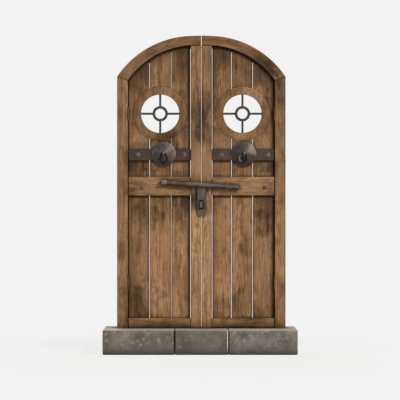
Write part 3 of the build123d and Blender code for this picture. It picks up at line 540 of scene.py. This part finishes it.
def oak(name, board, low, high):
    """Weathered oak for a piece that fills the box from low to high."""
    g = material_graph(name)
    place = g.place()
    x, _, z = g.split(place)
    across, depth, along = board_space(g, board.grain, place)
    drift = board.seed * OAK_DRIFT
    moved = g.add(across, drift)
    fields = oak_noises(g, g.join(moved, depth, g.add(along, drift * OAK_DRIFT_ALONG)))
    side = 2 if board.grain == "X" else 0
    middle = ARCH_RADIUS if board.grain == "ARC" else (low[side] + high[side]) / 2
    rings = growth_rings(g, fields, g.less(across, middle), along)
    knot = knots(g, fields, moved, along)

    colour = g.layers(OAK_MID, fields, OAK_UNDER_RINGS)
    colour = g.mix(g.times(rings, RING_DARK * board.cathedral), colour, OAK_DARK)
    colour = g.layers(colour, fields, OAK_OVER_RINGS)
    colour = g.mix(g.span(fields["patch"], *BLOTCHES, 0.0, board.stain), colour, OAK_STAIN_AND_SHADE)
    colour = g.mix(g.times(knot, KNOT_DARK), colour, OAK_KNOT_AND_SHADE)
    # Placed stains and painted shadows
    stains_and_shades = [stain for stain in STAINS_AND_SHADES if touches(stain, board.grain, low, high)]
    colour = placed_stains_and_shades(g, colour, fields, x, z, stains_and_shades)

    # Painted shade in the corners, also standing for dirt, and more painted shade under the arch
    fields["shelter"] = g.shelter(OAK_CORNER)
    colour = g.layers(colour, fields, OAK_DIRT_AND_SHADE)
    at_head = g.span(z, *HEAD_ZONE, 0.0, ARCH_SHADE)
    colour = g.mix(g.times(g.span(fields["shelter"], *ARCH_SHELTER), at_head), colour, OAK_KNOT_AND_SHADE)

    if board.mitre:
        colour = g.mix(mitre_line(g, x, z), colour, OAK_KNOT_AND_SHADE)
    # Dark line along both long edges
    if board.grain != "ARC" and board.rim:
        inside = g.math("MINIMUM", g.less(across, low[side]), g.less(high[side], across))
        ragged = g.add(inside, g.waver(fields["fine"], RIM_WIDTH))
        colour = g.mix(g.span(ragged, RIM_WIDTH, 0.0, 0.0, board.rim), colour, OAK_STAIN_AND_SHADE)
    # Painted shadow beside a taller piece on its right
    if board.shade:
        colour = g.mix(g.span(g.less(high[0], across), *SIDE_SHADOW, 0.0, board.shade), colour, OAK_KNOT_AND_SHADE)
    # Painted shadow under the strap, the middle rail and the arch
    if board.under:
        colour = plank_shadows(g, colour, place, board.under)

    # Washed paler or left darker above the middle rail
    level = g.add(z, g.times(fields["patch"], WASH_FRAY))
    tone = g.span(level, *WASH_ZONE, *board.tone)
    colour = g.mix(1.0, colour, g.join(tone, tone, tone), blend="MULTIPLY")
    height = g.weigh(
        (fields["fine"], FINE_RELIEF),
        (rings, RING_RELIEF * board.cathedral),
        (fields["streak"], STREAK_RELIEF),
        (knot, KNOT_RELIEF),
    )
    rough = g.span(fields["fine"], *OAK_ROUGH)
    return g.surface(colour, rough, g.bump(height, *OAK_BUMP), Specular_IOR_Level=OAK_GLOSS)


# Forged iron


@dataclass(frozen=True)
class Iron:
    """How one iron piece is worn."""

    tone: float = 1.0
    # Handled edges and humps that shine through the dark skin
    wear: float = 0.25
    rust: float = 0.5
    seed: float = 0.0
    # Polished fan on a boss, also a painted highlight
    polish_and_highlight: float = 0.0
    # Painted shade towards the back, on faces turned aside, and in the corners, where it also stands for
    # grime
    back_shade: float = 0.0
    skin: float = 0.0
    grime_and_shade: float = 0.7
    gloss: float = 0.3
    # Painted shade on the lower half, and a painted highlight on the left half
    lower_shade: float = 0.0
    left_highlight: float = 0.0


# Noise in the iron: scale, detail, roughness
IRON_NOISES = {
    "cloud": (22.0, 4.0, 0.6),
    "rust": (11.0, 5.0, 0.7),
    "grit": (160.0, 3.0, 0.6),
}
IRON_DRIFT = (1.0, 0.7, 1.3)
IRON_DENTS = 60.0
# Where each tint starts and is full on its noise field
IRON_CLOUDS = (0.35, 0.68)
IRON_RUSTS = (0.48, 0.7)
IRON_GRITS = (0.56, 0.8)
IRON_HUMPS = (0.52, 0.6)
# Painted shade in the corners, also standing for grime, and on faces turned aside
IRON_GRIME_AND_SHADE = (0.7, 0.25)
IRON_ASIDE = (-0.85, -0.2)
IRON_CORNER = 0.03
# Polished fan, also a painted highlight: distance from the boss's middle, ragged edge, its two sides in
# radians, its inner edge
FAN_SHIFT = 0.014
FAN_FRAY = 0.5
FAN_START = (-0.25, 0.1)
FAN_END = (1.5, 0.75)
FAN_INNER = (0.012, 0.035)
# Distances from the box's faces at which the painted highlight and the painted shade towards the back are
# full or start
HIGHLIGHT_EDGE = 0.006
SHADE_FRONT = 0.02
SHADE_BACK = 0.004
# Surface: relief of the grit, strength and depth of the bump, roughness, metal
GRIT_RELIEF = 0.25
IRON_BUMP = (0.3, 0.002)
IRON_ROUGH = (0.3, 0.7, 0.46, 0.64)
IRON_METAL = 0.1


def polished_and_lit_fan(g, fields, side, rise):
    """Fan to the upper right of a boss's middle: polish where hands have rubbed it, and a painted highlight
    where the light falls.
    """
    turn = g.add(g.math("ARCTAN2", rise, side), g.waver(fields["cloud"], FAN_FRAY))
    fan = g.times(g.span(turn, *FAN_START), g.span(turn, *FAN_END))
    return g.times(fan, g.span(g.length(side, rise), *FAN_INNER))


def forged_iron(name, iron, low, high):
    """Dark iron for a piece that fills the box from low to high."""
    g = material_graph(name)
    place = g.place()
    x, y, z = g.split(place)
    middle_x = (low[0] + high[0]) / 2
    middle_z = (low[2] + high[2]) / 2
    space = drifted(g, place, iron.seed, IRON_DRIFT)
    fields = plain_noises(g, space, IRON_NOISES)
    fields["hump"] = g.humps()
    dents = g.cells(space, IRON_DENTS, "SMOOTH_F1").outputs["Distance"]
    colour = g.layers(IRON_DARK, fields, [
        ("cloud", *IRON_CLOUDS, 1.0, IRON_BASE),
        ("rust", *IRON_RUSTS, iron.rust, IRON_RUST),
        ("grit", *IRON_GRITS, iron.wear, IRON_WORN_AND_LIT),
        ("hump", *IRON_HUMPS, iron.wear, IRON_WORN_AND_LIT),
    ])
    colour = g.toned(colour, iron.tone)
    # Polished fan, also a painted highlight
    if iron.polish_and_highlight:
        fan = polished_and_lit_fan(g, fields, g.less(x, middle_x + FAN_SHIFT), g.less(z, middle_z))
        colour = g.mix(g.times(fan, iron.polish_and_highlight), colour, IRON_BARE_AND_LIT)
    # Painted highlight on the left half
    if iron.left_highlight:
        colour = g.mix(g.span(x, middle_x, low[0] + HIGHLIGHT_EDGE, 0.0, iron.left_highlight), colour, IRON_WORN_AND_LIT)
    # Painted shade on the lower half
    if iron.lower_shade:
        colour = g.mix(g.span(z, middle_z, low[2], 0.0, iron.lower_shade), colour, IRON_SOOT_AND_SHADE)
    # Painted shade towards the back
    if iron.back_shade:
        back_shade = g.span(y, low[1] + SHADE_FRONT, high[1] - SHADE_BACK, 0.0, iron.back_shade)
        colour = g.mix(back_shade, colour, IRON_SOOT_AND_SHADE)
    # Painted shade in the corners, also standing for grime
    colour = g.mix(g.span(g.shelter(IRON_CORNER), *IRON_GRIME_AND_SHADE, 0.0, iron.grime_and_shade), colour, IRON_SOOT_AND_SHADE)
    # Painted shade on faces turned aside
    if iron.skin:
        colour = g.mix(g.span(g.facing(1), *IRON_ASIDE, 0.0, iron.skin), colour, IRON_SOOT_AND_SHADE)
    normal = g.bump(g.weigh((dents, 1.0), (fields["grit"], GRIT_RELIEF)), *IRON_BUMP)
    rough = g.span(fields["cloud"], *IRON_ROUGH)
    return g.surface(colour, rough, normal, Metallic=IRON_METAL, Specular_IOR_Level=iron.gloss)


# Mottled grey stone and its joints

# Noise in the stone: scale, detail, roughness
STONE_NOISES = {
    "cloud": (8.0, 5.0, 0.62),
    "mottle": (30.0, 5.0, 0.65),
    "grain": (210.0, 3.0, 0.6),
    "moss": (5.0, 3.0, 0.55),
    "speckle": (48.0, 3.0, 0.55),
}
STONE_DRIFT = (1.0, 1.1, 0.6)
STONE_PITS = 38.0
# Tints as Graph.layers takes them; worn is the pale top, partly wear from feet and rain and partly painted
# light from above
STONE_LAYERS = [
    ("cloud", 0.36, 0.64, 1.0, STONE_BASE),
    ("mottle", 0.5, 0.7, 0.65, STONE_LIGHT),
    ("moss", 0.5, 0.7, 0.5, STONE_MOSS),
    ("pits", 0.16, 0.04, 0.4, STONE_DARK),
    ("grain", 0.5, 0.8, 0.3, STONE_DARK),
    ("speckle", 0.6, 0.76, 0.22, STONE_TOP),
    ("worn", 0.35, 1.0, 0.85, STONE_TOP),
]
PALE_TOP_FRAY = 0.3
# Ends by a joint, stained dark or given a painted highlight: above the foot, not on the top, ragged, and this
# far in from the joint
END_ABOVE = (0.018, 0.032)
END_FACING = (0.7, 0.3)
END_FRAY = 0.002
END_DEPTH = (0.0075, 0.0055)
# Painted shade against the door's foot
STONE_CORNER = 0.1
STONE_FOOT_SHADE = [
    ("shelter", 0.95, 0.55, 0.85, STONE_DARK),
    ("shelter", 0.75, 0.5, 0.8, JOINT_AND_SHADE_DARK),
]
# Surface: relief of mottle, grain and pits, strength and depth of the bump, roughness, gloss
MOTTLE_RELIEF = 0.6
GRAIN_RELIEF = 0.2
PIT_RELIEF = (0.2, 0.0, 0.0, -0.35)
STONE_BUMP = (0.5, 0.005)
STONE_ROUGH = (0.3, 0.7, 0.72, 0.9)
STONE_GLOSS = 0.25

MORTAR_GRIT = (120.0, 5.0, 0.7)
MORTAR_TINT = (0.3, 0.7)
MORTAR_ROUGH = (0.3, 0.7, 0.85, 0.95)
MORTAR_BUMP = (0.8, 0.004)


def sill_stone(name, low, high, seed, tone, left_end, right_end):
    """Mottled stone; an end that meets a joint takes the colour given for it, a dark stain or a painted
    highlight on a lit edge.
    """
    g = material_graph(name)
    place = g.place()
    x, _, z = g.split(place)
    space = drifted(g, place, seed, STONE_DRIFT)
    upward = g.facing(2)
    fields = plain_noises(g, space, STONE_NOISES)
    fields["pits"] = g.cells(space, STONE_PITS).outputs["Distance"]
    # Pale top: partly wear, partly painted light from above
    fields["worn"] = g.add(upward, g.times(fields["mottle"], PALE_TOP_FRAY))
    fields["shelter"] = g.shelter(STONE_CORNER)
    colour = g.layers(STONE_DARK, fields, STONE_LAYERS)
    on_front = g.times(g.span(z, *END_ABOVE), g.span(upward, *END_FACING))
    # Ends by a joint: a dark joint stain, or a painted highlight on a lit edge
    for end, inside in ((left_end, g.less(x, low[0])), (right_end, g.less(high[0], x))):
        if end:
            ragged = g.add(inside, g.times(fields["mottle"], END_FRAY))
            colour = g.mix(g.times(g.span(ragged, *END_DEPTH), on_front), colour, end)
    colour = g.toned(colour, tone)
    # Painted shade against the door's foot
    colour = g.layers(colour, fields, STONE_FOOT_SHADE)
    height = g.weigh(
        (fields["mottle"], MOTTLE_RELIEF),
        (fields["grain"], GRAIN_RELIEF),
        (g.span(fields["pits"], *PIT_RELIEF), 1.0),
    )
    rough = g.span(fields["mottle"], *STONE_ROUGH)
    return g.surface(colour, rough, g.bump(height, *STONE_BUMP), Specular_IOR_Level=STONE_GLOSS)


def mortar(name):
    """Dark, gritty joint between two stones."""
    g = material_graph(name)
    grit = g.noise(g.place(), *MORTAR_GRIT)
    colour = g.mix(g.span(grit, *MORTAR_TINT), JOINT_AND_SHADE_DARK, OAK_STAIN_AND_SHADE)
    return g.surface(colour, g.span(grit, *MORTAR_ROUGH), g.bump(grit, *MORTAR_BUMP))


# Worn edges, in metres, on corners sharper than the angle
OAK_EDGE = 0.0015
STONE_EDGE = 0.003
IRON_EDGE = 0.0008
EDGE_ANGLE = math.radians(40)


def dress(name, material, bevel=0.0):
    """Give a CAD node its material, and a worn edge where it has one."""
    obj = nodes[name]
    obj.data.materials.clear()
    obj.data.materials.append(material)
    if bevel:
        edge = obj.modifiers.new("worn_edge", "BEVEL")
        edge.width = bevel
        edge.segments = 2
        edge.limit_method = "ANGLE"
        edge.angle_limit = EDGE_ANGLE
        edge.harden_normals = False


BOARDS = {
    "left_jamb": Board(tone=(1.02, 0.88), stain=0.5, cathedral=0.3, seed=1.1, mitre=True),
    "right_jamb": Board(tone=(1.03, 0.7), stain=0.45, cathedral=0.3, seed=2.3, mitre=True),
    "left_arch_head": Board("ARC", tone=(0.7, 0.7), stain=0.45, cathedral=0.3, seed=3.7, mitre=True),
    "right_arch_head": Board("ARC", tone=(0.7, 0.7), stain=0.55, cathedral=0.3, seed=4.9, mitre=True),
    "left_meeting_stile": Board(tone=(1.3, 1.0), stain=0.3, cathedral=0.6, seed=5.2),
    "right_meeting_stile": Board(tone=(1.44, 0.86), stain=0.35, cathedral=0.7, seed=6.4),
    "left_outer_plank": Board(tone=(0.84, 0.84), stain=0.6, seed=7.9, under=0.5),
    "left_middle_plank_lower": Board(tone=(1.22, 0.82), stain=0.5, cathedral=0.7, seed=8.3, under=0.5),
    "left_middle_plank_upper": Board(tone=(0.88, 0.88), stain=0.5, seed=9.6, under=0.6),
    "left_inner_plank": Board(tone=(1.12, 0.9), stain=0.55, seed=10.2, shade=0.6, under=0.5),
    "right_inner_plank": Board(tone=(1.2, 0.8), stain=0.5, seed=11.8, under=0.5),
    "right_middle_plank_lower": Board(tone=(1.02, 0.8), stain=0.55, cathedral=0.8, seed=12.5, under=0.5),
    "right_middle_plank_upper": Board(tone=(0.65, 0.65), stain=0.55, seed=13.1, under=0.4),
    "right_outer_plank": Board(tone=(0.94, 0.78), stain=0.6, seed=14.7, shade=0.6, under=0.5),
    "left_mid_rail": Board("X", tone=(0.92, 0.92), stain=0.35, cathedral=0.4, seed=15.4, rim=0.12),
    "right_mid_rail": Board("X", tone=(1.0, 1.0), stain=0.35, cathedral=0.4, seed=16.6, rim=0.12),
    "left_bottom_rail": Board("X", tone=(1.05, 1.05), stain=0.5, cathedral=0.3, seed=17.2, rim=0.12),
    "right_bottom_rail": Board("X", tone=(1.02, 1.02), stain=0.5, cathedral=0.3, seed=18.5, rim=0.12),
    "left_window_ring": Board(tone=(0.74, 0.74), stain=0.55, cathedral=0.4, seed=19.3, rim=0.0),
    "right_window_ring": Board(tone=(0.77, 0.77), stain=0.55, cathedral=0.4, seed=20.8, rim=0.0),
    "left_ledges": Board("X", tone=(0.9, 0.8), stain=0.5, cathedral=0.4, seed=21.4, rim=0.0),
    "right_ledges": Board("X", tone=(0.9, 0.8), stain=0.5, cathedral=0.4, seed=22.9, rim=0.0),
}
HINGES = ("left_frame_hinges", "left_leaf_hinges", "right_frame_hinges", "right_leaf_hinges")
HINGE_STAIN = Board(tone=(0.6, 0.5), rim=0.0)

for name, board in BOARDS.items():
    dress(name, oak(f"oak_{name}", board, *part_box(name)), bevel=OAK_EDGE)
# Hinges stained along with the wood they lie in
for name in HINGES:
    dress(name, oak(f"stained_{name}", HINGE_STAIN, *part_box(name)))

# Stones of the sill: seed, tone, colours of the left and right ends; the pale one is a painted highlight on a
# lit edge
STONES = {
    "sill_stone_left": (1.7, 1.18, None, JOINT_AND_SHADE_DARK),
    "sill_stone_middle": (4.8, 1.04, JOINT_AND_SHADE_DARK, STONE_LIT_EDGE),
    "sill_stone_right": (7.9, 1.2, JOINT_AND_SHADE_DARK, None),
}
for name, (seed, tone, left_end, right_end) in STONES.items():
    dress(name, sill_stone(name, *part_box(name), seed, tone, left_end, right_end), bevel=STONE_EDGE)
dress("sill_mortar", mortar("mortar"))

# Iron pieces that the photograph shows; the hidden ones take a plain tone and a seed each
PLAIN_TONE = 0.8
PLAIN_SEED = 20.0
PLAIN_SEED_STEP = 1.7
IRONS = {
    "left_strap": Iron(tone=0.5, seed=0.3, gloss=0.12),
    "right_strap": Iron(tone=0.55, seed=1.9, gloss=0.12),
    "left_strap_studs": Iron(tone=1.75, wear=0.5, seed=2.4, grime_and_shade=0.2, rust=0.0),
    "right_strap_studs": Iron(tone=2.0, wear=0.5, seed=3.1, grime_and_shade=0.2, rust=0.0),
    "left_rail_studs": Iron(tone=1.4, wear=0.5, seed=4.6, grime_and_shade=0.5, rust=0.0),
    "right_rail_studs": Iron(tone=1.25, wear=0.5, seed=5.2, grime_and_shade=0.5, rust=0.0),
    "left_boss": Iron(tone=1.16, rust=0.6, seed=6.1, polish_and_highlight=0.04, grime_and_shade=0.35, lower_shade=0.55),
    "right_boss": Iron(tone=0.72, rust=0.4, seed=7.7, polish_and_highlight=0.22, grime_and_shade=0.35, lower_shade=0.4),
    "left_ring_eye": Iron(tone=0.9, wear=0.6, seed=8.2),
    "right_ring_eye": Iron(tone=0.9, wear=0.6, seed=8.9),
    "left_pull_ring": Iron(tone=0.12, wear=0.05, rust=0.2, seed=9.3, gloss=0.08),
    "right_pull_ring": Iron(tone=0.12, wear=0.05, rust=0.2, seed=9.9, gloss=0.08, left_highlight=0.6),
    "left_window_grille": Iron(tone=0.55, wear=0.1, seed=10.4),
    "right_window_grille": Iron(tone=0.55, wear=0.1, seed=11.2),
    "bolt_bar": Iron(tone=1.6, rust=0.0, wear=0.4, seed=12.6, skin=0.95),
    "bolt_staples": Iron(tone=0.9, rust=0.2, seed=13.5, skin=0.85),
    "bolt_keeper": Iron(tone=1.4, rust=0.0, wear=0.4, seed=14.1, skin=0.95),
    "hasp": Iron(tone=1.05, rust=0.5, seed=15.8, skin=0.8),
    "hasp_staple": Iron(tone=1.0, rust=0.2, seed=16.3, back_shade=0.95),
}
iron_nodes = sorted(
    entry["node"] for entry in frame["record"]["subparts"] if entry["material_slot"] == "iron"
)
for index, name in enumerate(iron_nodes):
    if name not in HINGES:
        plain = Iron(tone=PLAIN_TONE, seed=PLAIN_SEED + PLAIN_SEED_STEP * index)
        iron = IRONS.get(name, plain)
        dress(name, forged_iron(f"iron_{name}", iron, *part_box(name)), bevel=IRON_EDGE)


# Floor, backdrop and light

FLOOR_HALF = 30.0
FLOOR_MATT = (0.8, 0.8, 0.8, 1.0)
# The floor shows the object's shadow near it and the page's white farther off
FLOOR_FADE = (0.6, 2.4, 0.88, 1.0)
FILL_WHITE = (1.0, 1.0, 1.0, 1.0)
FILL_STRENGTH = 0.2
LAMP_TARGET = (0.0, 0.0, 1.2)
# Lamps: place, width, watts, colour
LAMPS = {
    "key": ((5.2, -4.9, 6.8), 2.2, 750, (1.0, 0.98, 0.95)),
    "fill": ((-4.5, -6.5, 2.6), 4.0, 40, (1.0, 0.99, 0.97)),
    "back": ((-3.8, 6.2, 4.2), 4.0, 360, (1.0, 0.99, 0.97)),
}


def page(name):
    """Pale surface that shows as the page's white to the camera and to gloss."""
    g = material_graph(name)
    glow = g.node("ShaderNodeEmission", {"Color": PAGE_WHITE, "Strength": 1.0}).outputs[0]
    matt = g.node("ShaderNodeBsdfDiffuse", {"Color": FLOOR_MATT}).outputs[0]
    away = g.node("ShaderNodeVectorMath", {0: g.place()}, operation="LENGTH").outputs["Value"]
    share = g.times(g.seen(), g.span(away, *FLOOR_FADE))
    both = g.node("ShaderNodeMixShader", {0: share, 1: matt, 2: glow}).outputs[0]
    g.node("ShaderNodeOutputMaterial", {"Surface": both})
    return g.owner


def floor():
    mesh = bpy.data.meshes.new("floor")
    corners = [(x * FLOOR_HALF, y * FLOOR_HALF, 0) for x, y in ((-1, -1), (1, -1), (1, 1), (-1, 1))]
    mesh.from_pydata(corners, [], [(0, 1, 2, 3)])
    obj = bpy.data.objects.new("floor", mesh)
    obj.data.materials.append(page("page"))
    bpy.context.scene.collection.objects.link(obj)


def world():
    """Page's white where it is seen, and a weak even light on the object."""
    studio = bpy.data.worlds.new("studio")
    bpy.context.scene.world = studio
    g = Graph(studio)
    fill = g.node("ShaderNodeBackground", {"Color": FILL_WHITE, "Strength": FILL_STRENGTH}).outputs[0]
    white = g.node("ShaderNodeBackground", {"Color": PAGE_WHITE, "Strength": 1.0}).outputs[0]
    both = g.node("ShaderNodeMixShader", {0: g.seen(), 1: fill, 2: white}).outputs[0]
    g.node("ShaderNodeOutputWorld", {"Surface": both})


def lamp(name, place, size, power, colour):
    light = bpy.data.lights.new(name, "AREA")
    light.shape = "DISK"
    light.size = size
    light.energy = power
    light.color = colour
    obj = bpy.data.objects.new(name, light)
    obj.location = place
    obj.rotation_euler = (Vector(LAMP_TARGET) - Vector(place)).to_track_quat("-Z", "Y").to_euler()
    bpy.context.scene.collection.objects.link(obj)


floor()
world()
for name, values in LAMPS.items():
    lamp(name, *values)

# Camera at the photograph's viewing angle, square to the door's face
CAMERA_X = -0.001
CAMERA_HEIGHT = 1.146
CAMERA_DISTANCE = 11.3
FACE_Y = -0.015
VIEW_WIDTH = 3.0
SENSOR_WIDTH = 36.0
camera_data = bpy.data.cameras.new("camera")
camera_data.sensor_width = SENSOR_WIDTH
camera_data.lens = SENSOR_WIDTH * CAMERA_DISTANCE / VIEW_WIDTH
camera = bpy.data.objects.new("camera", camera_data)
camera.location = (CAMERA_X, FACE_Y - CAMERA_DISTANCE, CAMERA_HEIGHT)
camera.rotation_euler = (math.pi / 2, 0.0, 0.0)
bpy.context.scene.collection.objects.link(camera)
bpy.context.scene.camera = camera
bpy.context.scene.view_settings.view_transform = "Standard"
